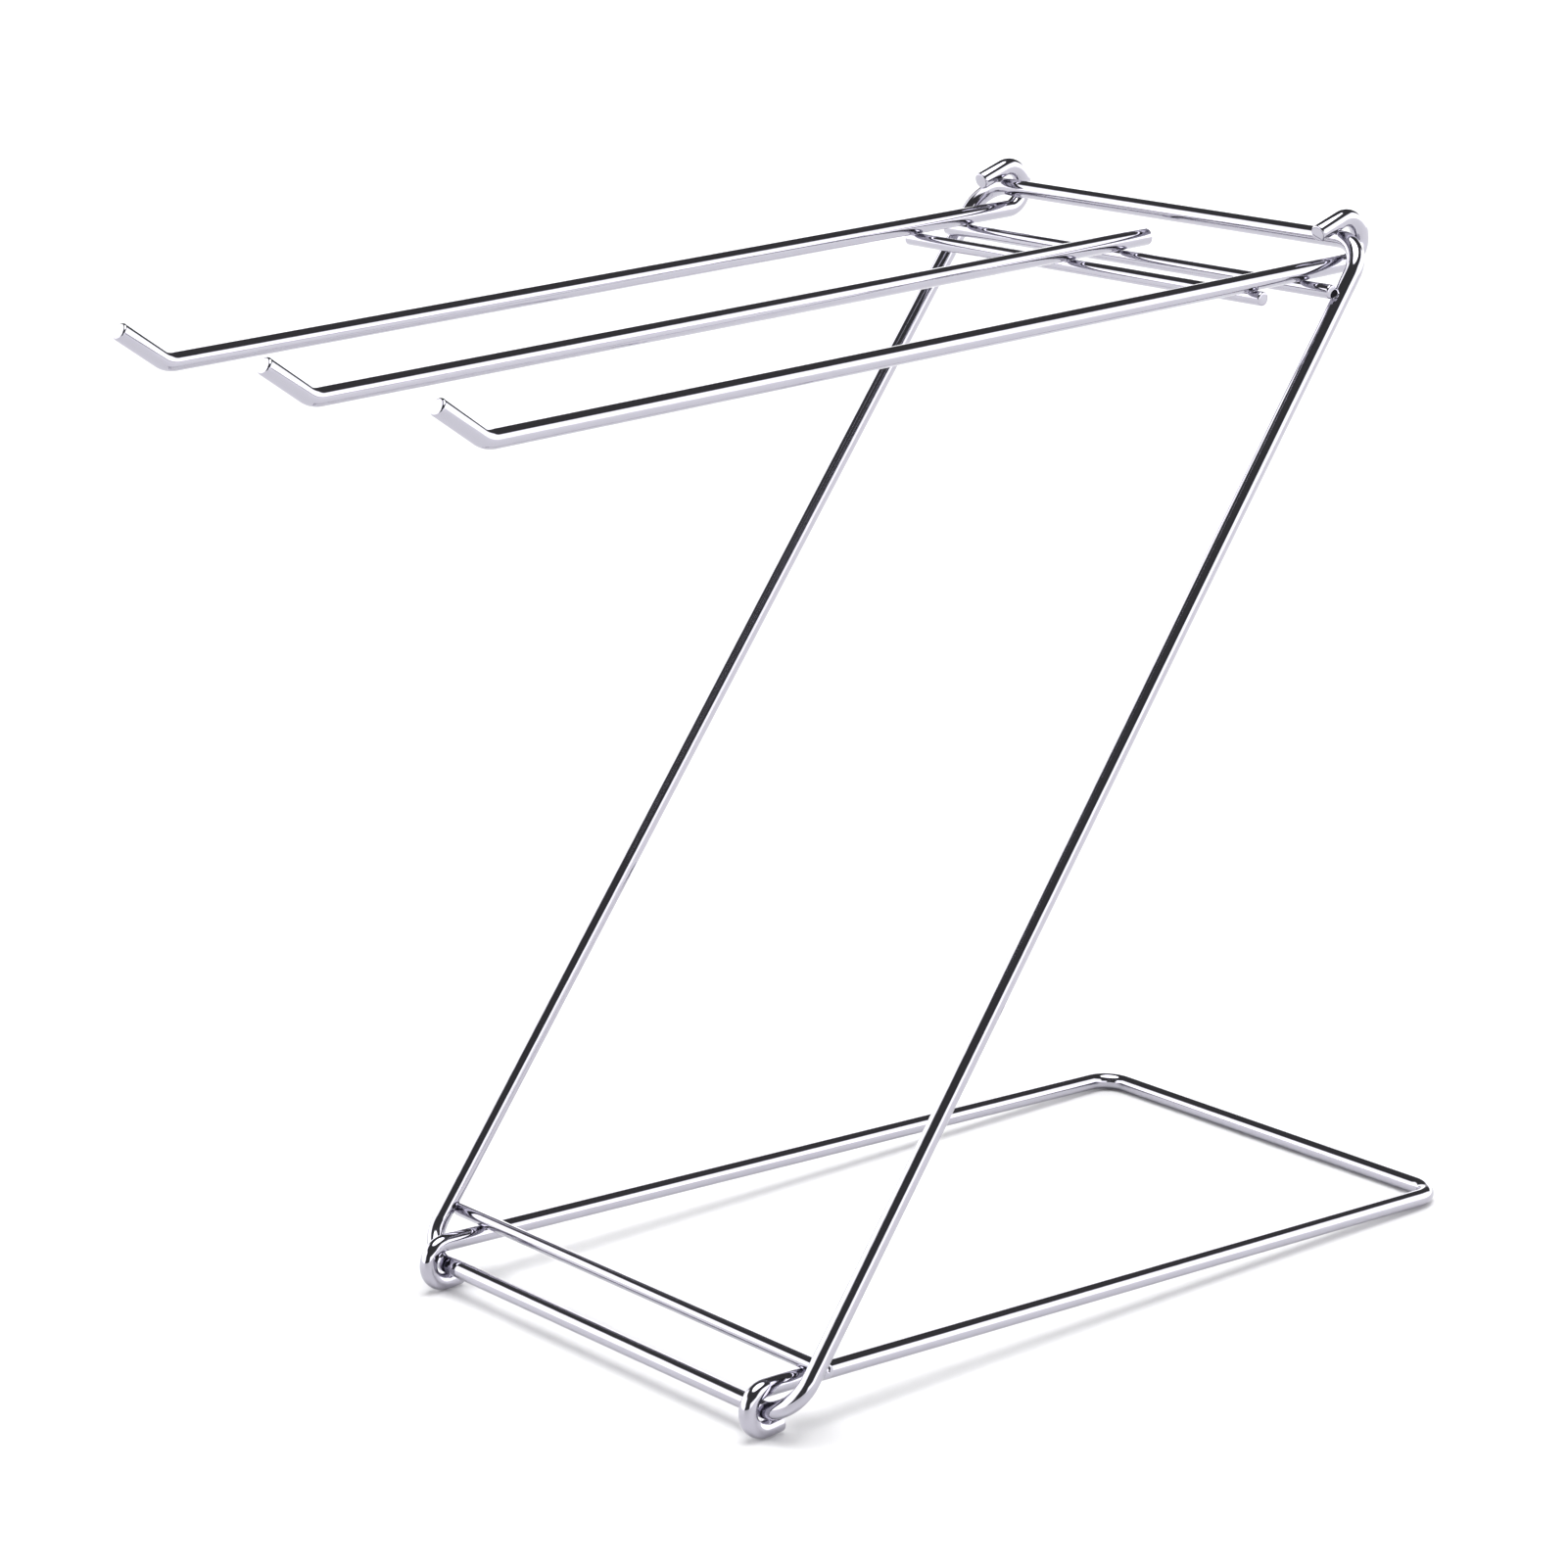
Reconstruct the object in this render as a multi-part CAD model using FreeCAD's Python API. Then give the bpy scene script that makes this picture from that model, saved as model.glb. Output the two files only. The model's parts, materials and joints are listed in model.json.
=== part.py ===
"""Folding counter-top hanging stand, bent and welded from bright chromed steel wire.

Three groups of wire make a letter Z seen from the side:
  - the base: a U of wire lying on the table, with a hook at the end of each leg;
  - the middle frame: a closed four-sided loop that leans back over the base, with a
    thin stop bar welded across the back of its uprights near the bottom and another
    across the front of them near the top;
  - the rack: three arms with turned-up tips, joined by a thin cross bar welded
    under them. The outer arms end in hooks.
The base hooks hold the bottom bar of the middle frame and the rack hooks hold its
top bar, so the stand folds about these two bars. Standing open, the lower stop bar
rests on the base and the rack rests on the upper stop bar.

Frame: millimetres, +Z up, X across the stand, +Y from the arm tips to the back of
the base. The origin is on the table under the middle of the whole stand.
"""
import FreeCAD, Part
import math
import os

from FreeCAD import Vector

# ---- driving dimensions, millimetres and degrees ----
FRAME_WIRE = 4.8            # wire of the base, the middle frame and the arms
BAR_WIRE = 3.8              # thinner wire of the stop bars and the cross bar
CONTACT_GAP = 0.15          # air left where one swinging group rests on another
WELD_SINK = 0.2             # how far a welded bar is pressed into the wire it crosses

MIDDLE_LENGTH = 342.2       # bottom bar to top bar, along the uprights
MIDDLE_BOTTOM_WIDTH = 153.0 # between the centres of the uprights, at the bottom bar
MIDDLE_TOP_WIDTH = 146.0    # the same, at the top bar
MIDDLE_LEAN = 53.4          # angle between the uprights and the table
MIDDLE_BOTTOM_BEND = 11.0   # centre-line radius of the loop's two lower corners
MIDDLE_TOP_BEND = 10.0      # the same, of its two upper corners
BOTTOM_BAR_HEIGHT = 7.5     # centre of the bottom bar above the table

BASE_WIDTH = 133.0          # between the centres of the legs
BASE_LENGTH = 255.0         # bottom bar to the cross wire at the back
BASE_BEND = 8.0
BASE_HOOK_RADIUS = 5.5      # centre-line radius of the base hooks
BASE_HOOK_FRONT = 0.2       # the hook's middle stands this far in front of the bar
BASE_HOOK_TURN = 186.0      # how far the wire turns round the bottom bar
BASE_HOOK_TAIL = 5.0        # straight end after the turn

ARM_SPACING = 128.4         # between the centres of the outer arms
MIDDLE_ARM_PLACE = -3.0     # the middle arm stands a little nearer the left arm
ARM_LENGTH = 285.5          # top bar to the bend at the tip
ARM_SLOPE = 2.0             # the arms drop by this angle towards their tips
ARM_BELOW_BAR = 6.5         # top bar centre to the centre line of the arms
ARM_TIP_LENGTH = 16.7
ARM_TIP_RISE = 37.2         # angle between the tip and the arm
ARM_TIP_BEND = 7.0
ARM_HOOK_RADIUS = 6.0       # centre-line radius of the outer arms' hooks
ARM_HOOK_BACK = 1.0         # the hook's middle stands this far behind the top bar
ARM_HOOK_TURN = 197.0       # from below the bar, round behind it, to just past its top
ARM_HOOK_TAIL = 9.0         # straight end over the bar
MIDDLE_ARM_REAR = 5.0       # the middle arm ends this far in front of the top bar

CROSS_BAR_FORWARD = 34.0    # top bar to cross bar, along the arms
CROSS_BAR_OVERHANG = 3.6    # past the centre of each outer arm
LOWER_STOP_HALF_LENGTH = 76.5
UPPER_STOP_HALF_LENGTH = 73.5

# ---- sizes worked out from them ----
WIRE_R = FRAME_WIRE / 2
BAR_R = BAR_WIRE / 2
WELD_SPACING = WIRE_R + BAR_R - WELD_SINK       # welded bar to the wire it crosses
REST_SPACING = WIRE_R + BAR_R + CONTACT_GAP     # stop bar to the wire that meets it


def direction(angle):
    """Unit vector in the YZ plane, at an angle above +Y."""
    return Vector(0, math.cos(math.radians(angle)), math.sin(math.radians(angle)))


def line_angle(start, end):
    """Angle above +Y of the line from start to end."""
    return math.degrees(math.atan2(end.z - start.z, end.y - start.y))


def wedge_point(corner_on_a, angle_a, spacing_a, corner_on_b, angle_b, spacing_b):
    """Point at given spacings from two lines in the YZ plane.

    Each spacing is measured to the left of its line's direction.
    """
    left_a = direction(angle_a + 90)
    left_b = direction(angle_b + 90)
    reach_a = corner_on_a.dot(left_a) + spacing_a
    reach_b = corner_on_b.dot(left_b) + spacing_b
    cross = left_a.y * left_b.z - left_a.z * left_b.y
    y = (reach_a * left_b.z - reach_b * left_a.z) / cross
    z = (left_a.y * reach_b - left_b.y * reach_a) / cross
    return Vector(0, y, z)


# Layout of the side view. The bottom bar is at Y = 0 until the layout is shifted.
bottom_bar = Vector(0, 0, BOTTOM_BAR_HEIGHT)
top_bar = bottom_bar + direction(MIDDLE_LEAN) * MIDDLE_LENGTH

# The legs leave the tops of their hooks and slope down to the wire at the back.
base_hook_centre = Vector(0, -BASE_HOOK_FRONT, WIRE_R + BASE_HOOK_RADIUS)
base_back = Vector(0, BASE_LENGTH, WIRE_R)
hook_to_back = base_back - base_hook_centre
leg_angle = line_angle(base_hook_centre, base_back) - math.degrees(
    math.asin(BASE_HOOK_RADIUS / hook_to_back.Length))
leg_start = base_hook_centre + direction(leg_angle + 90) * BASE_HOOK_RADIUS

# The arms run to the front, which is the -Y direction, under the top bar.
arm_angle = 180 + ARM_SLOPE
arm_forward = direction(arm_angle)
arm_up = direction(arm_angle - 90)
arm_under_bar = top_bar - arm_up * ARM_BELOW_BAR
arm_hook_centre = arm_under_bar + arm_up * ARM_HOOK_RADIUS - arm_forward * ARM_HOOK_BACK
arm_bend = arm_under_bar + arm_forward * ARM_LENGTH
arm_tip = arm_bend + direction(arm_angle - ARM_TIP_RISE) * ARM_TIP_LENGTH
middle_arm_end = arm_under_bar + arm_forward * MIDDLE_ARM_REAR

# The stop bars are welded on the uprights, in the wedges where the groups cross.
lower_stop = wedge_point(leg_start, leg_angle, REST_SPACING, bottom_bar, MIDDLE_LEAN, -WELD_SPACING)
upper_stop = wedge_point(arm_under_bar, arm_angle, REST_SPACING, top_bar, MIDDLE_LEAN, WELD_SPACING)
cross_bar = arm_under_bar + arm_forward * CROSS_BAR_FORWARD - arm_up * WELD_SPACING

# The layout moves as a whole so that the origin is under the middle of the stand.
front_y = arm_tip.y - WIRE_R * math.sin(math.radians(ARM_TIP_RISE - ARM_SLOPE))
back_y = BASE_LENGTH + WIRE_R
LAYOUT_SHIFT = Vector(0, -(front_y + back_y) / 2, 0)


def at(x, point):
    """Put a YZ point at a place across the stand, in the final frame."""
    return Vector(x, point.y, point.z) + LAYOUT_SHIFT


def arc_edge(centre, radius, start_angle, turn, x):
    """Arc in a YZ plane; its two ends, and the edge. A positive turn is anticlockwise."""
    spots = [at(x, centre + direction(start_angle + turn * part) * radius) for part in (0, 0.5, 1)]
    return spots[0], spots[2], Part.Arc(*spots).toShape()


def rounded_path(corners, radii, closed=False):
    """Edges of a path with a tangent arc at each inner corner."""
    count = len(corners)
    edges = []
    last_end = None
    first_start = None
    for index in range(count if closed else count - 2):
        before = corners[index]
        corner = corners[(index + 1) % count]
        after = corners[(index + 2) % count]
        to_before = (before - corner).normalize()
        to_after = (after - corner).normalize()
        half = to_before.getAngle(to_after) / 2
        radius = radii[index]
        start = corner + to_before * (radius / math.tan(half))
        end = corner + to_after * (radius / math.tan(half))
        inward = (to_before + to_after).normalize()
        middle = corner + inward * (radius / math.sin(half) - radius)
        if last_end is None:
            first_start = start
            if not closed:
                edges.append(Part.LineSegment(before, start).toShape())
        else:
            edges.append(Part.LineSegment(last_end, start).toShape())
        edges.append(Part.Arc(start, middle, end).toShape())
        last_end = end
    finish = first_start if closed else corners[-1]
    edges.append(Part.LineSegment(last_end, finish).toShape())
    return edges


def wire_solid(edges, diameter):
    """Round wire along a path that starts at the first edge's first point."""
    path = Part.Wire(edges)
    start = edges[0].Vertexes[0].Point
    heading = edges[0].tangentAt(edges[0].FirstParameter)
    section = Part.Wire(Part.makeCircle(diameter / 2, start, heading))
    solid = path.makePipeShell([section], True, False)
    if solid.Volume < 0:
        solid.reverse()
    return solid


def straight_bar(point, half_length, diameter):
    """Bar across the stand, centred in X, with its ends cut square."""
    start = at(-half_length, point)
    return Part.makeCylinder(diameter / 2, 2 * half_length, start, Vector(1, 0, 0))


def base_frame():
    """U of wire with a hook on each leg: round the front of the bottom bar and back under it."""
    half = BASE_WIDTH / 2
    hooks = []
    for side in (-1, 1):
        start, end, arc = arc_edge(base_hook_centre, BASE_HOOK_RADIUS, leg_angle + 90,
                                   BASE_HOOK_TURN, side * half)
        tail = direction(leg_angle + 180 + BASE_HOOK_TURN) * BASE_HOOK_TAIL
        hooks.append((start, arc, Part.LineSegment(end, end + tail).toShape()))
    left, right = hooks
    corners = [left[0], at(-half, base_back), at(half, base_back), right[0]]
    legs = rounded_path(corners, [BASE_BEND, BASE_BEND])
    return wire_solid([left[2], left[1]] + legs + [right[1], right[2]], FRAME_WIRE)


def middle_frame():
    """Closed loop: two uprights, the bottom bar and the top bar."""
    low = MIDDLE_BOTTOM_WIDTH / 2
    high = MIDDLE_TOP_WIDTH / 2
    corners = [at(-low, bottom_bar), at(low, bottom_bar), at(high, top_bar), at(-high, top_bar)]
    radii = [MIDDLE_BOTTOM_BEND, MIDDLE_TOP_BEND, MIDDLE_TOP_BEND, MIDDLE_BOTTOM_BEND]
    return wire_solid(rounded_path(corners, radii, closed=True), FRAME_WIRE)


def outer_arm(side):
    """Arm with a turned-up tip in front and a hook up and over the top bar behind."""
    x = side * ARM_SPACING / 2
    start, end, arc = arc_edge(arm_hook_centre, ARM_HOOK_RADIUS, arm_angle + 90, ARM_HOOK_TURN, x)
    front = rounded_path([at(x, arm_tip), at(x, arm_bend), start], [ARM_TIP_BEND])
    tail = direction(arm_angle + 180 + ARM_HOOK_TURN) * ARM_HOOK_TAIL
    return wire_solid(front + [arc, Part.LineSegment(end, end + tail).toShape()], FRAME_WIRE)


def middle_arm():
    """Arm with a turned-up tip, cut square just in front of the top bar."""
    corners = [at(MIDDLE_ARM_PLACE, spot) for spot in (arm_tip, arm_bend, middle_arm_end)]
    return wire_solid(rounded_path(corners, [ARM_TIP_BEND]), FRAME_WIRE)


def welded_bar(point, half_length, crossed):
    """Thin bar across the stand, with the seats that its welds press into it."""
    bar = straight_bar(point, half_length, BAR_WIRE)
    for wire in crossed:
        bar = bar.cut(wire)
    return bar


def build():
    """All pieces by node name."""
    loop = middle_frame()
    arms = {"left_arm": outer_arm(-1), "middle_arm": middle_arm(), "right_arm": outer_arm(1)}
    cross_half = ARM_SPACING / 2 + CROSS_BAR_OVERHANG
    pieces = {"base_frame": base_frame(), "middle_frame": loop}
    pieces["lower_stop_bar"] = welded_bar(lower_stop, LOWER_STOP_HALF_LENGTH, [loop])
    pieces["upper_stop_bar"] = welded_bar(upper_stop, UPPER_STOP_HALF_LENGTH, [loop])
    pieces.update(arms)
    pieces["arm_cross_bar"] = welded_bar(cross_bar, cross_half, arms.values())
    return pieces


os.makedirs("parts", exist_ok=True)
for name, shape in build().items():
    if not shape.isValid() or len(shape.Solids) != 1:
        raise ValueError(name + " is not one valid solid")
    shape.exportStep("parts/" + name + ".step")
    print(name, "%.1f mm3" % shape.Volume, shape.optimalBoundingBox(False, False))
print("hinges:", at(0, bottom_bar), at(0, top_bar))
print("bars:", at(0, lower_stop), at(0, upper_stop), at(0, cross_bar))
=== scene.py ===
"""Folding counter-top hanging stand in bright chromed wire.

Every wire is drawn out from a ring of points, run by run and bend by bend, in the
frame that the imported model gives. Lengths are in metres, angles in degrees.
"""
import bpy
import json
import math

from bpy.props import FloatProperty, FloatVectorProperty, IntProperty, PointerProperty
from mathutils import Matrix, Vector


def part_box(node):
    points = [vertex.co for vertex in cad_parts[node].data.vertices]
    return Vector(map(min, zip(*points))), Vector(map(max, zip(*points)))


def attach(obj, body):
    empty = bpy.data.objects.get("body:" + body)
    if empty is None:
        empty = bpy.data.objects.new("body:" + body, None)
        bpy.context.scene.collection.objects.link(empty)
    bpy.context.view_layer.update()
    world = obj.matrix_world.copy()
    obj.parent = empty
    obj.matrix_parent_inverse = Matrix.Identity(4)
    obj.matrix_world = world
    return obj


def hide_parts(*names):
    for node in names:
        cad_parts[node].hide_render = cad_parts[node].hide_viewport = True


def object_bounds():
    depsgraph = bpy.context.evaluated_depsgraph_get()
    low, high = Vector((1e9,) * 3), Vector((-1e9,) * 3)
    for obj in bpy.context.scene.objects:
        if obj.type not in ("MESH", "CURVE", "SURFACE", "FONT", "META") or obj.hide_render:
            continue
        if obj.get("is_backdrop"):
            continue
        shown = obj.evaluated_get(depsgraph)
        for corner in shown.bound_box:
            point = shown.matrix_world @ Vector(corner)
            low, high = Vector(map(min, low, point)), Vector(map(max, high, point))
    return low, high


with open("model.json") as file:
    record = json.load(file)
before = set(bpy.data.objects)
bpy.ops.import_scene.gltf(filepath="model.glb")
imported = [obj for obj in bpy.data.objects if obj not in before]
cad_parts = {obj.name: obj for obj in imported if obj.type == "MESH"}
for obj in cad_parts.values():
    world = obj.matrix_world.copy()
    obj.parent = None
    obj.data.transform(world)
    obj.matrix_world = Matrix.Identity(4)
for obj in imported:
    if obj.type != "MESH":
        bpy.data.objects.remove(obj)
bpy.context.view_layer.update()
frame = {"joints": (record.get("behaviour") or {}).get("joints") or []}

bl_info = {
    "name": "Folding Hanging Stand",
    "version": (1, 0, 0),
    "blender": (4, 5, 0),
    "location": "3D View > Sidebar > Stand",
    "description": "Builds a folding stand of bent and welded chromed wire",
    "category": "Add Mesh",
}

ACROSS = Vector((1, 0, 0))

SAME_PLACE = 1e-6          # points this close are one point
FEWEST_STEPS = 2           # steps of even the slightest bend
END_SEGMENTS = 4           # steps of the rounding on a cut end
SHARP_ABOVE = math.radians(40)  # edges that turn further than this stay crisp

WELD_INTO_BAR = 0.45       # where a weld starts, as a share of the bar's radius
WELD_INTO_WIRE = 0.5       # where it ends, as a share of the wire's radius
WELD_RINGS = 8
WELD_WAIST = 0.68          # its narrowest ring, as a share of its first
WELD_ROUND = 0.25          # its end rounding, as a share of a cut end's

HAZE_MM = 9                # between the patches of haze on the chrome
HAZE_ROUGHNESS = (0.04, 0.10)
WAVER_MM = 5               # between the waves that drawing leaves on the wire
WAVER_HEIGHT = 0.00003
LAMINATE_ROUGHNESS = 0.45

TALL_SCREENS_AT = 45       # degrees from +Y towards +X, and straight opposite
GAP_AT = 150

HINGES = {joint["name"]: Vector(joint["pos_m"]) for joint in frame["joints"]}
BOTTOM_BAR = HINGES["frame_fold"]
TOP_BAR = HINGES["rack_fold"]


def linear(hex_colour):
    """Linear red, green and blue of an sRGB hex colour such as "#C8C9CC"."""
    parts = [int(hex_colour[i:i + 2], 16) / 255 for i in (1, 3, 5)]
    return [p / 12.92 if p <= 0.04045 else ((p + 0.055) / 1.055) ** 2.4 for p in parts]


# ---- settings ----

def length(name, description, default):
    """A size in metres, with its name and description."""
    return FloatProperty(name=name, description=description, default=default,
                         unit="LENGTH", subtype="DISTANCE", precision=5)


def angle(name, description, default):
    """An angle that the user sees in degrees."""
    return FloatProperty(name=name, description=description, default=math.radians(default),
                         unit="ROTATION", subtype="ANGLE")


def colour(name, description, default):
    """A colour that starts from an sRGB hex value."""
    return FloatVectorProperty(name=name, description=description, default=linear(default),
                               subtype="COLOR", min=0, max=1, size=3)


class StandSizes(bpy.types.PropertyGroup):
    wire: length("Wire", "Diameter of the base, middle frame and arms", 0.0048)
    bar: length("Bar", "Diameter of the stop bars and the cross bar", 0.0038)
    sides: IntProperty(name="Sides", description="Points round each wire", default=64, min=12)
    step: angle("Step", "Largest turn between two rings of a bend", 5)
    end_round: length("End Round", "Rounding that the plating leaves on a cut end", 0.0006)
    base_hook: length("Base Hook", "Centre-line radius of the base's hooks", 0.0055)
    base_turn: angle("Base Hook Turn", "How far a base hook goes round the bottom bar", 186)
    base_tail: length("Base Hook Tail", "Straight end of a base hook", 0.005)
    base_bend: length("Base Bend", "Centre-line radius of the base's back corners", 0.008)
    frame_low: length("Frame Width Low", "Between the uprights at the bottom bar", 0.153)
    frame_high: length("Frame Width High", "Between the uprights at the top bar", 0.146)
    frame_low_bend: length("Low Bend", "Centre-line radius of the lower corners", 0.011)
    frame_high_bend: length("High Bend", "Centre-line radius of the upper corners", 0.010)
    arm_slope: angle("Arm Slope", "How far the arms slope down towards their tips", 2)
    arm_reach: length("Arm Reach", "Top bar to the bend at an arm's tip", 0.2855)
    arm_rear: length("Arm Rear", "Top bar to the cut end of the middle arm", 0.005)
    arm_below: length("Arm Below", "Top bar's centre to the arms' centre lines", 0.0065)
    arm_hook: length("Arm Hook", "Centre-line radius of the arms' hooks", 0.006)
    arm_turn: angle("Arm Hook Turn", "How far an arm's hook goes round the top bar", 197)
    arm_tail: length("Arm Hook Tail", "Straight end of an arm's hook", 0.009)
    tip: length("Tip", "Length of an arm's raised tip", 0.0167)
    tip_rise: angle("Tip Rise", "How far a tip is bent up from its arm", 37.2)
    tip_bend: length("Tip Bend", "Centre-line radius of the bend at a tip", 0.007)
    weld: length("Weld", "Radius of a weld where it meets the wires", 0.0016)


class StandFinish(bpy.types.PropertyGroup):
    chrome: colour("Chrome", "Colour of the chrome plate", "#B0AEB8")
    floor: colour("Floor", "Colour of the table", "#F2F2F3")
    sides: FloatProperty(name="Side Light", description="Strength of the white screens",
                         default=3.2, min=0)
    top: FloatProperty(name="Top Light", description="Strength of the soft light overhead",
                       default=7.2, min=0)
    room: FloatProperty(name="Room Light", description="Strength of the dark room round them",
                        default=0.09, min=0)


# ---- wire bending ----

def deselect():
    """Clears the selection, so that the next operator acts on its own piece only."""
    for item in bpy.context.selected_objects:
        item.select_set(False)


def in_plane(degrees):
    """Unit vector in the side view, turned up from +Y."""
    return Vector((0, math.cos(math.radians(degrees)), math.sin(math.radians(degrees))))


class Wire:
    """A round wire, made from its first cut end by runs and bends."""

    def __init__(self, name, diameter, start, heading):
        deselect()
        facing = heading.to_track_quat("Z", "Y").to_euler()
        sizes = bpy.context.scene.stand_sizes
        bpy.ops.mesh.primitive_circle_add(vertices=sizes.sides, radius=diameter / 2,
                                          fill_type="NOTHING", location=start, rotation=facing)
        self.piece = bpy.context.object
        self.piece.name = name
        self.piece.data.name = name
        self.place = start.copy()
        self.heading = heading.normalized()
        self.step = sizes.step
        bpy.ops.object.transform_apply(location=True, rotation=True, scale=True)
        bpy.ops.object.mode_set(mode="EDIT")
        bpy.ops.mesh.select_mode(type="EDGE")
        bpy.ops.mesh.select_all(action="SELECT")

    def run(self, distance):
        """Goes straight on."""
        move = self.heading * distance
        bpy.ops.mesh.extrude_edges_move(TRANSFORM_OT_translate={"value": move})
        self.place += move

    def turn(self, radius, turn, axis):
        """Bends by an angle in radians, right-handed about an axis."""
        axis = axis.normalized()
        centre = self.place + axis.cross(self.heading) * radius
        steps = max(FEWEST_STEPS, math.ceil(turn / self.step))
        # The spin operator counts its angle left-handed.
        bpy.ops.mesh.spin(steps=steps, angle=-turn, center=centre, axis=axis)
        spin = Matrix.Rotation(turn, 3, axis)
        self.place = centre + spin @ (self.place - centre)
        self.heading = spin @ self.heading

    def corner(self, point, heading, radius):
        """Runs up to a corner and bends round it to a new heading."""
        turn = self.heading.angle(heading)
        setback = radius * math.tan(turn / 2)
        self.run((point - self.place).dot(self.heading) - setback)
        self.turn(radius, turn, self.heading.cross(heading))

    def close(self):
        """Joins the last ring to the first."""
        bpy.ops.mesh.select_all(action="SELECT")
        bpy.ops.mesh.remove_doubles(threshold=SAME_PLACE)

    def cut_ends(self, rounding):
        """Closes both ends with a flat cut and rounds its edge."""
        bpy.ops.mesh.select_all(action="SELECT")
        bpy.ops.mesh.fill_holes(sides=0)
        bpy.ops.mesh.select_mode(type="FACE")
        bpy.ops.mesh.select_all(action="DESELECT")
        bpy.ops.mesh.select_face_by_sides(number=bpy.context.scene.stand_sizes.sides)
        bpy.ops.mesh.region_to_loop()
        bpy.ops.mesh.bevel(offset=rounding, segments=END_SEGMENTS, affect="EDGES")

    def finish(self):
        """Turns the skin outwards, smooths it and hands the piece over."""
        bpy.ops.mesh.select_all(action="SELECT")
        bpy.ops.mesh.normals_make_consistent(inside=False)
        bpy.ops.object.mode_set(mode="OBJECT")
        bpy.ops.object.shade_smooth_by_angle(angle=SHARP_ABOVE)
        return self.piece


def hand_over(piece, body, *nodes):
    """Gives a finished piece its plating and its body, and hides the CAD nodes that it stands
    for.
    """
    piece.data.materials.clear()
    piece.data.materials.append(chrome_plate())
    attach(piece, body)
    if nodes:
        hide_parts(*nodes)


def middle_of(node):
    """Centre of a CAD node's box."""
    low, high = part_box(node)
    return (low + high) / 2


def arm_directions(sizes):
    """Unit vectors along the arms towards their tips, and square to them upwards."""
    forward = in_plane(180 + math.degrees(sizes.arm_slope))
    return forward, -ACROSS.cross(forward)


# ---- pieces ----

class STAND_OT_base(bpy.types.Operator):
    """Bends the base: two legs with hooks, joined by the wire at the back"""
    bl_idname = "stand.base"
    bl_label = "Base"

    def execute(self, context):
        sizes = context.scene.stand_sizes
        low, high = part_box("base_frame")
        radius = sizes.wire / 2
        half = high.x - radius
        hook = Vector((0, low.y + radius + sizes.base_hook, radius + sizes.base_hook))
        back = Vector((0, high.y - radius, radius))
        span = back - hook
        rise = math.atan2(span.z, span.y)
        slope = math.degrees(rise - math.asin(sizes.base_hook / span.length))
        end_angle = slope + 90 + math.degrees(sizes.base_turn)
        end = hook + in_plane(end_angle) * sizes.base_hook
        tail = in_plane(end_angle + 90)
        top = hook + in_plane(slope + 90) * sizes.base_hook
        left = ACROSS * -half
        wire = Wire("base_wire", sizes.wire, end + tail * sizes.base_tail + left, -tail)
        wire.run(sizes.base_tail)
        wire.turn(sizes.base_hook, sizes.base_turn, -ACROSS)
        wire.corner(back + left, ACROSS, sizes.base_bend)
        wire.corner(back - left, -in_plane(slope), sizes.base_bend)
        wire.run((top - left - wire.place).dot(wire.heading))
        wire.turn(sizes.base_hook, sizes.base_turn, ACROSS)
        wire.run(sizes.base_tail)
        wire.cut_ends(sizes.end_round)
        hand_over(wire.finish(), "base", "base_frame")
        return {"FINISHED"}


class STAND_OT_middle_frame(bpy.types.Operator):
    """Bends the closed loop of the middle frame"""
    bl_idname = "stand.middle_frame"
    bl_label = "Middle Frame"

    def execute(self, context):
        sizes = context.scene.stand_sizes
        low = ACROSS * (sizes.frame_low / 2)
        high = ACROSS * (sizes.frame_high / 2)
        corners = [
            (BOTTOM_BAR + low, sizes.frame_low_bend),
            (TOP_BAR + high, sizes.frame_high_bend),
            (TOP_BAR - high, sizes.frame_high_bend),
            (BOTTOM_BAR - low, sizes.frame_low_bend),
        ]
        wire = Wire("middle_loop", sizes.wire, BOTTOM_BAR, ACROSS)
        for index, (corner, bend) in enumerate(corners):
            following = corners[(index + 1) % len(corners)][0]
            wire.corner(corner, (following - corner).normalized(), bend)
        wire.run((BOTTOM_BAR - wire.place).length)
        wire.close()
        hand_over(wire.finish(), "middle", "middle_frame")
        return {"FINISHED"}


class STAND_OT_arms(bpy.types.Operator):
    """Bends the three arms with their raised tips, and the hooks of the outer two"""
    bl_idname = "stand.arms"
    bl_label = "Arms"

    def execute(self, context):
        sizes = context.scene.stand_sizes
        forward, up = arm_directions(sizes)
        raised = in_plane(180 + math.degrees(sizes.arm_slope - sizes.tip_rise))
        under_bar = TOP_BAR - up * sizes.arm_below
        bend = under_bar + forward * sizes.arm_reach
        for node in ("left_arm", "middle_arm", "right_arm"):
            side = ACROSS * middle_of(node).x
            start = bend + raised * sizes.tip + side
            wire = Wire(node + "_wire", sizes.wire, start, -raised)
            wire.corner(bend + side, -forward, sizes.tip_bend)
            if node == "middle_arm":
                rear = under_bar + forward * sizes.arm_rear
                wire.run((rear - wire.place).dot(wire.heading))
            else:
                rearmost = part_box(node)[1].y
                reach = rearmost - sizes.wire / 2 - sizes.arm_hook
                wire.run((reach - wire.place.y) / -forward.y)
                wire.turn(sizes.arm_hook, sizes.arm_turn, ACROSS)
                wire.run(sizes.arm_tail)
            wire.cut_ends(sizes.end_round)
            hand_over(wire.finish(), "rack", node)
        return {"FINISHED"}


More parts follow.
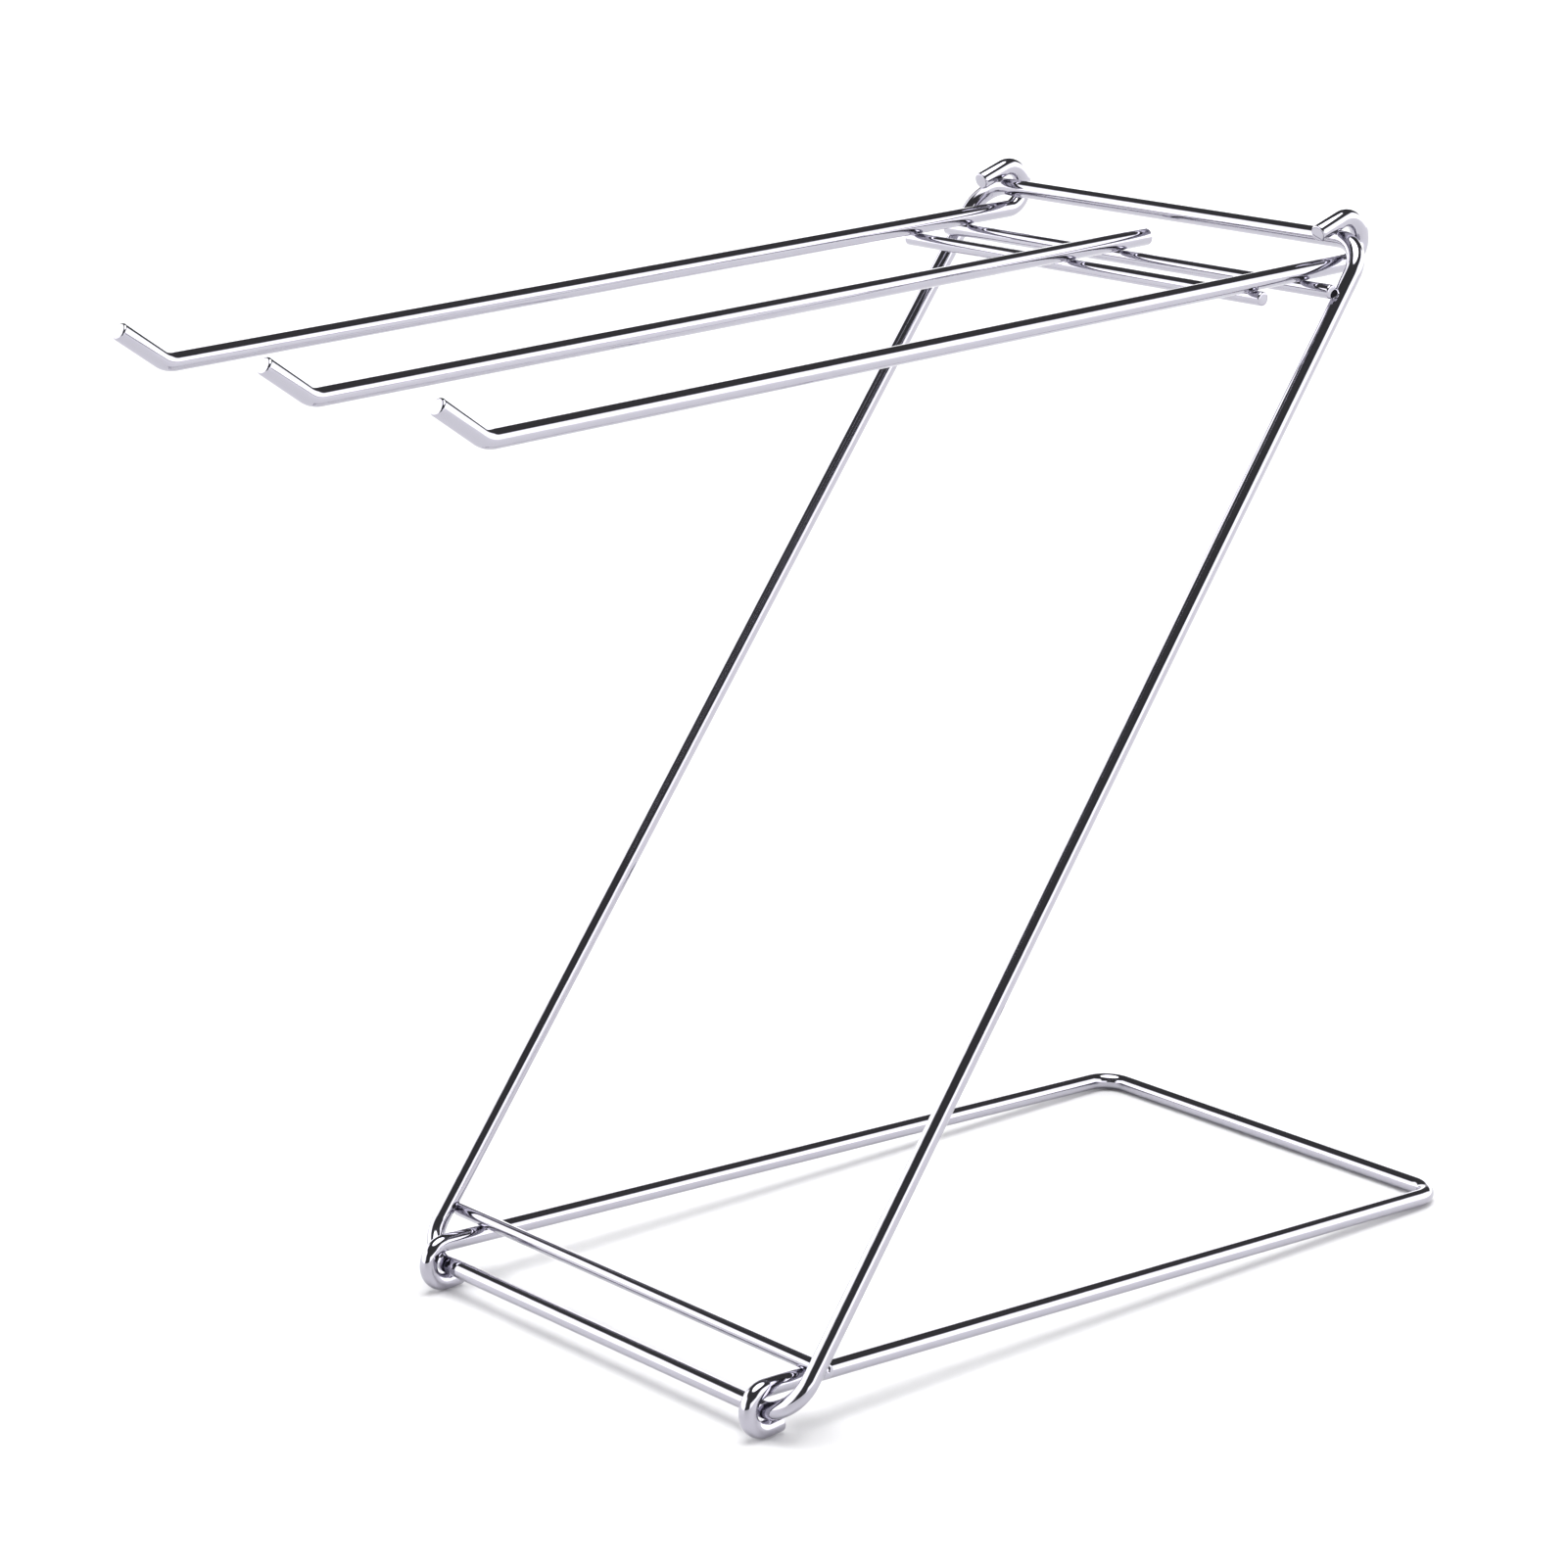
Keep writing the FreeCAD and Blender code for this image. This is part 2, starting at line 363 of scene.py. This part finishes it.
class STAND_OT_bars(bpy.types.Operator):
    """Cuts the two stop bars and the cross bar"""
    bl_idname = "stand.bars"
    bl_label = "Bars"

    def execute(self, context):
        sizes = context.scene.stand_sizes
        bars = {
            "lower_stop_bar": "middle",
            "upper_stop_bar": "middle",
            "arm_cross_bar": "rack",
        }
        for node, body in bars.items():
            low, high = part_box(node)
            centre = middle_of(node)
            start = Vector((low.x, centre.y, centre.z))
            wire = Wire(node + "_rod", sizes.bar, start, ACROSS)
            wire.run(high.x - low.x)
            wire.cut_ends(sizes.end_round)
            hand_over(wire.finish(), body, node)
        return {"FINISHED"}


def weld(name, body, bar, wire):
    """Spool of weld metal between a bar and the wire that it crosses.

    bar and wire are points on the two centre lines, one straight across from the other.
    """
    sizes = bpy.context.scene.stand_sizes
    along = (wire - bar).normalized()
    start = bar + along * (sizes.bar / 2 * WELD_INTO_BAR)
    end = wire - along * (sizes.wire / 2 * WELD_INTO_WIRE)
    bead = Wire(name, 2 * sizes.weld, start, along)
    for ring in range(WELD_RINGS):
        bead.run((end - start).length / WELD_RINGS)
        before = 1 - (1 - WELD_WAIST) * math.sin(math.pi * ring / WELD_RINGS)
        after = 1 - (1 - WELD_WAIST) * math.sin(math.pi * (ring + 1) / WELD_RINGS)
        bpy.ops.transform.resize(value=(after / before,) * 3, center_override=bead.place)
    bead.cut_ends(sizes.end_round * WELD_ROUND)
    hand_over(bead.finish(), body)


class STAND_OT_welds(bpy.types.Operator):
    """Welds the bars to the wires that they cross"""
    bl_idname = "stand.welds"
    bl_label = "Welds"

    def execute(self, context):
        sizes = context.scene.stand_sizes
        upright = (TOP_BAR - BOTTOM_BAR).normalized()
        for node in ("lower_stop_bar", "upper_stop_bar"):
            bar = middle_of(node)
            height = (bar - BOTTOM_BAR).dot(upright)
            share = height / (TOP_BAR - BOTTOM_BAR).length
            half = (sizes.frame_low + (sizes.frame_high - sizes.frame_low) * share) / 2
            for side, word in ((-1, "left"), (1, "right")):
                shift = ACROSS * (half * side)
                crossed = BOTTOM_BAR + upright * height + shift
                weld(node.replace("bar", "weld_") + word, "middle", bar + shift, crossed)
        forward, up = arm_directions(sizes)
        bar = middle_of("arm_cross_bar")
        for word in ("left", "middle", "right"):
            shift = ACROSS * middle_of(word + "_arm").x
            line = TOP_BAR - up * sizes.arm_below
            crossed = line + forward * (bar - line).dot(forward) + shift
            weld("cross_bar_weld_" + word, "rack", bar + shift, crossed)
        return {"FINISHED"}


# ---- looks ----

def add(nodes, links, kind, settings=None, inputs=None, into=None):
    """Adds a node with its settings, its socket values or links, and the sockets it feeds."""
    node = nodes.new(kind)
    for key, value in (settings or {}).items():
        setattr(node, key, value)
    for key, value in (inputs or {}).items():
        if isinstance(value, bpy.types.NodeSocket):
            links.new(value, node.inputs[key])
        else:
            node.inputs[key].default_value = value
    for output, socket in (into or {}).items():
        links.new(node.outputs[output], socket)
    return node


def blank_tree(owner):
    """Nodes and links of a material or world, emptied of what Blender puts there."""
    owner.use_nodes = True
    owner.node_tree.nodes.clear()
    return owner.node_tree.nodes, owner.node_tree.links


def per_metre(millimetres):
    """Scale of a pattern whose features are that far apart."""
    return 1000 / millimetres


def chrome_plate():
    """Bright chrome over nickel on drawn mild-steel wire.

    The plate is a near mirror with the faintest blue-violet cast. The drawn wire under
    it is never quite round, so its reflections waver, and handling leaves a light haze.
    """
    ready = bpy.data.materials.get("bright_chrome_plate")
    if ready:
        return ready
    finish = bpy.context.scene.stand_finish
    material = bpy.data.materials.new("bright_chrome_plate")
    nodes, links = blank_tree(material)
    output = add(nodes, links, "ShaderNodeOutputMaterial")
    shader = add(nodes, links, "ShaderNodeBsdfPrincipled", inputs={
        "Base Color": (*finish.chrome, 1),
        "Metallic": 1.0,
    }, into={"BSDF": output.inputs["Surface"]})
    place = add(nodes, links, "ShaderNodeTexCoord").outputs["Object"]
    haze = add(nodes, links, "ShaderNodeTexNoise", inputs={
        "Vector": place, "Scale": per_metre(HAZE_MM), "Detail": 3.0, "Roughness": 0.6,
    })
    add(nodes, links, "ShaderNodeMapRange", inputs={
        "Value": haze.outputs["Fac"], "From Min": 0.35, "From Max": 0.75,
        "To Min": HAZE_ROUGHNESS[0], "To Max": HAZE_ROUGHNESS[1],
    }, into={"Result": shader.inputs["Roughness"]})
    waver = add(nodes, links, "ShaderNodeTexNoise", inputs={
        "Vector": place, "Scale": per_metre(WAVER_MM), "Detail": 1.0, "Roughness": 0.4,
    })
    add(nodes, links, "ShaderNodeBump", inputs={
        "Height": waver.outputs["Fac"], "Strength": 1.0, "Distance": WAVER_HEIGHT,
    }, into={"Normal": shader.inputs["Normal"]})
    return material


def table_top():
    """Satin white laminate, which pales towards the horizon and shows soft shadows."""
    finish = bpy.context.scene.stand_finish
    material = bpy.data.materials.new("satin_white_laminate")
    nodes, links = blank_tree(material)
    output = add(nodes, links, "ShaderNodeOutputMaterial")
    add(nodes, links, "ShaderNodeBsdfPrincipled", inputs={
        "Base Color": (*finish.floor, 1),
        "Roughness": LAMINATE_ROUGHNESS,
    }, into={"BSDF": output.inputs["Surface"]})
    return material


def compass(degrees):
    """Level unit vector, turned from +Y towards +X."""
    return Vector((math.sin(math.radians(degrees)), math.cos(math.radians(degrees)), 0))


def light_tent():
    """Surroundings of the stand: white screens and an overhead softbox in a dark room.

    Low screens stand all round, with two tall ones on opposite sides and a gap at the
    front right, where the room shows.
    """
    finish = bpy.context.scene.stand_finish
    world = bpy.data.worlds.new("light_tent")
    bpy.context.scene.world = world
    nodes, links = blank_tree(world)
    output = add(nodes, links, "ShaderNodeOutputWorld")
    sky = add(nodes, links, "ShaderNodeBackground",
              into={"Background": output.inputs["Surface"]})
    place = add(nodes, links, "ShaderNodeTexCoord").outputs["Generated"]
    height = add(nodes, links, "ShaderNodeSeparateXYZ", inputs={"Vector": place}).outputs["Z"]
    along = add(nodes, links, "ShaderNodeVectorMath", {"operation": "DOT_PRODUCT"},
                {0: place, 1: compass(TALL_SCREENS_AT)}).outputs["Value"]
    either_way = add(nodes, links, "ShaderNodeMath", {"operation": "ABSOLUTE"},
                     {0: along}).outputs["Value"]
    forward = add(nodes, links, "ShaderNodeVectorMath", {"operation": "DOT_PRODUCT"},
                  {0: place, 1: compass(GAP_AT)}).outputs["Value"]
    # Each edge is a value, where it starts and ends, and the levels it fades between.
    # The value is the sine of the height above the table, or the cosine of the turn
    # from the middle of the tall screens or of the gap.
    edges = {
        "low": (height, 0.20, 0.32, 1, 0),
        "tall": (height, 0.57, 0.66, 1, 0),
        "wide": (either_way, 0.62, 0.74, 0, 1),
        "gap": (forward, 0.84, 0.92, 1, 0),
        "softbox": (height, 0.90, 0.93, finish.room, finish.top),
    }
    soft = {}
    for name, (value, start, end, first, last) in edges.items():
        fade = add(nodes, links, "ShaderNodeMapRange", {"interpolation_type": "SMOOTHSTEP"}, {
            "Value": value,
            "From Min": start, "From Max": end,
            "To Min": first, "To Max": last,
        })
        soft[name] = fade.outputs["Result"]
    tall = add(nodes, links, "ShaderNodeMath", {"operation": "MULTIPLY"},
               {0: soft["tall"], 1: soft["wide"]}).outputs["Value"]
    screens = add(nodes, links, "ShaderNodeMath", {"operation": "MAXIMUM"},
                  {0: soft["low"], 1: tall}).outputs["Value"]
    open_screens = add(nodes, links, "ShaderNodeMath", {"operation": "MULTIPLY"},
                       {0: screens, 1: soft["gap"]}).outputs["Value"]
    add(nodes, links, "ShaderNodeMath", {"operation": "MULTIPLY_ADD"},
        {0: open_screens, 1: finish.sides, 2: soft["softbox"]},
        {"Value": sky.inputs["Strength"]})


class STAND_OT_stage(bpy.types.Operator):
    """Lays the table and sets the light and the camera"""
    bl_idname = "stand.stage"
    bl_label = "Stage"

    table_radius: length("Table Radius", "Reach of the white table", 12.0)
    table_sides: IntProperty(name="Table Sides", description="Corners of its edge",
                             default=64, min=12)
    aim: length("Aim", "How far behind the origin the camera looks", -0.0162)
    azimuth: angle("Azimuth", "Camera's turn from straight in front, to the right", 48.85)
    elevation: angle("Elevation", "Camera's height as an angle", 15.58)
    distance: length("Distance", "Camera to the middle of the view", 1.2168)
    lens: FloatProperty(name="Lens", description="Focal length", default=106.3,
                        unit="CAMERA")
    sensor: FloatProperty(name="Sensor", description="Width of the sensor", default=36,
                          unit="CAMERA")
    near: length("Near", "Distance at which the camera starts to see", 0.05)

    def execute(self, context):
        deselect()
        bpy.ops.mesh.primitive_circle_add(vertices=self.table_sides, radius=self.table_radius,
                                          fill_type="NGON", location=(0, 0, 0))
        table = context.object
        table.name = "table"
        table.data.materials.append(table_top())
        table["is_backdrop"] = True
        light_tent()
        low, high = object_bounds()
        target = Vector((0, self.aim, (low.z + high.z) / 2))
        back = Vector((math.sin(self.azimuth) * math.cos(self.elevation),
                       -math.cos(self.azimuth) * math.cos(self.elevation),
                       math.sin(self.elevation)))
        deselect()
        bpy.ops.object.camera_add(location=target + back * self.distance)
        camera = context.object
        camera.name = "camera"
        camera.rotation_euler = (math.pi / 2 - self.elevation, 0, self.azimuth)
        camera.data.lens = self.lens
        camera.data.sensor_width = self.sensor
        camera.data.clip_start = self.near
        context.scene.camera = camera
        context.scene.view_settings.view_transform = "Standard"
        return {"FINISHED"}


# ---- add-on ----

STEPS = (STAND_OT_base, STAND_OT_middle_frame, STAND_OT_arms, STAND_OT_bars, STAND_OT_welds,
         STAND_OT_stage)


class STAND_PT_build(bpy.types.Panel):
    """Lists the steps that build the stand"""
    bl_idname = "STAND_PT_build"
    bl_label = "Hanging Stand"
    bl_space_type = "VIEW_3D"
    bl_region_type = "UI"
    bl_category = "Stand"

    def draw(self, context):
        for step in STEPS:
            self.layout.operator(step.bl_idname)
        for group in (context.scene.stand_sizes, context.scene.stand_finish):
            for name in group.bl_rna.properties.keys():
                if name not in ("rna_type", "name"):
                    self.layout.prop(group, name)


CLASSES = (StandSizes, StandFinish, *STEPS, STAND_PT_build)


def register():
    """Makes the steps and their settings known to Blender."""
    for item in CLASSES:
        bpy.utils.register_class(item)
    bpy.types.Scene.stand_sizes = PointerProperty(type=StandSizes)
    bpy.types.Scene.stand_finish = PointerProperty(type=StandFinish)


def unregister():
    """Takes them away again."""
    del bpy.types.Scene.stand_finish
    del bpy.types.Scene.stand_sizes
    for item in reversed(CLASSES):
        bpy.utils.unregister_class(item)


def main():
    """Builds every piece and the stage."""
    register()
    bpy.ops.stand.base()
    bpy.ops.stand.middle_frame()
    bpy.ops.stand.arms()
    bpy.ops.stand.bars()
    bpy.ops.stand.welds()
    bpy.ops.stand.stage()


if __name__ == "__main__":
    main()
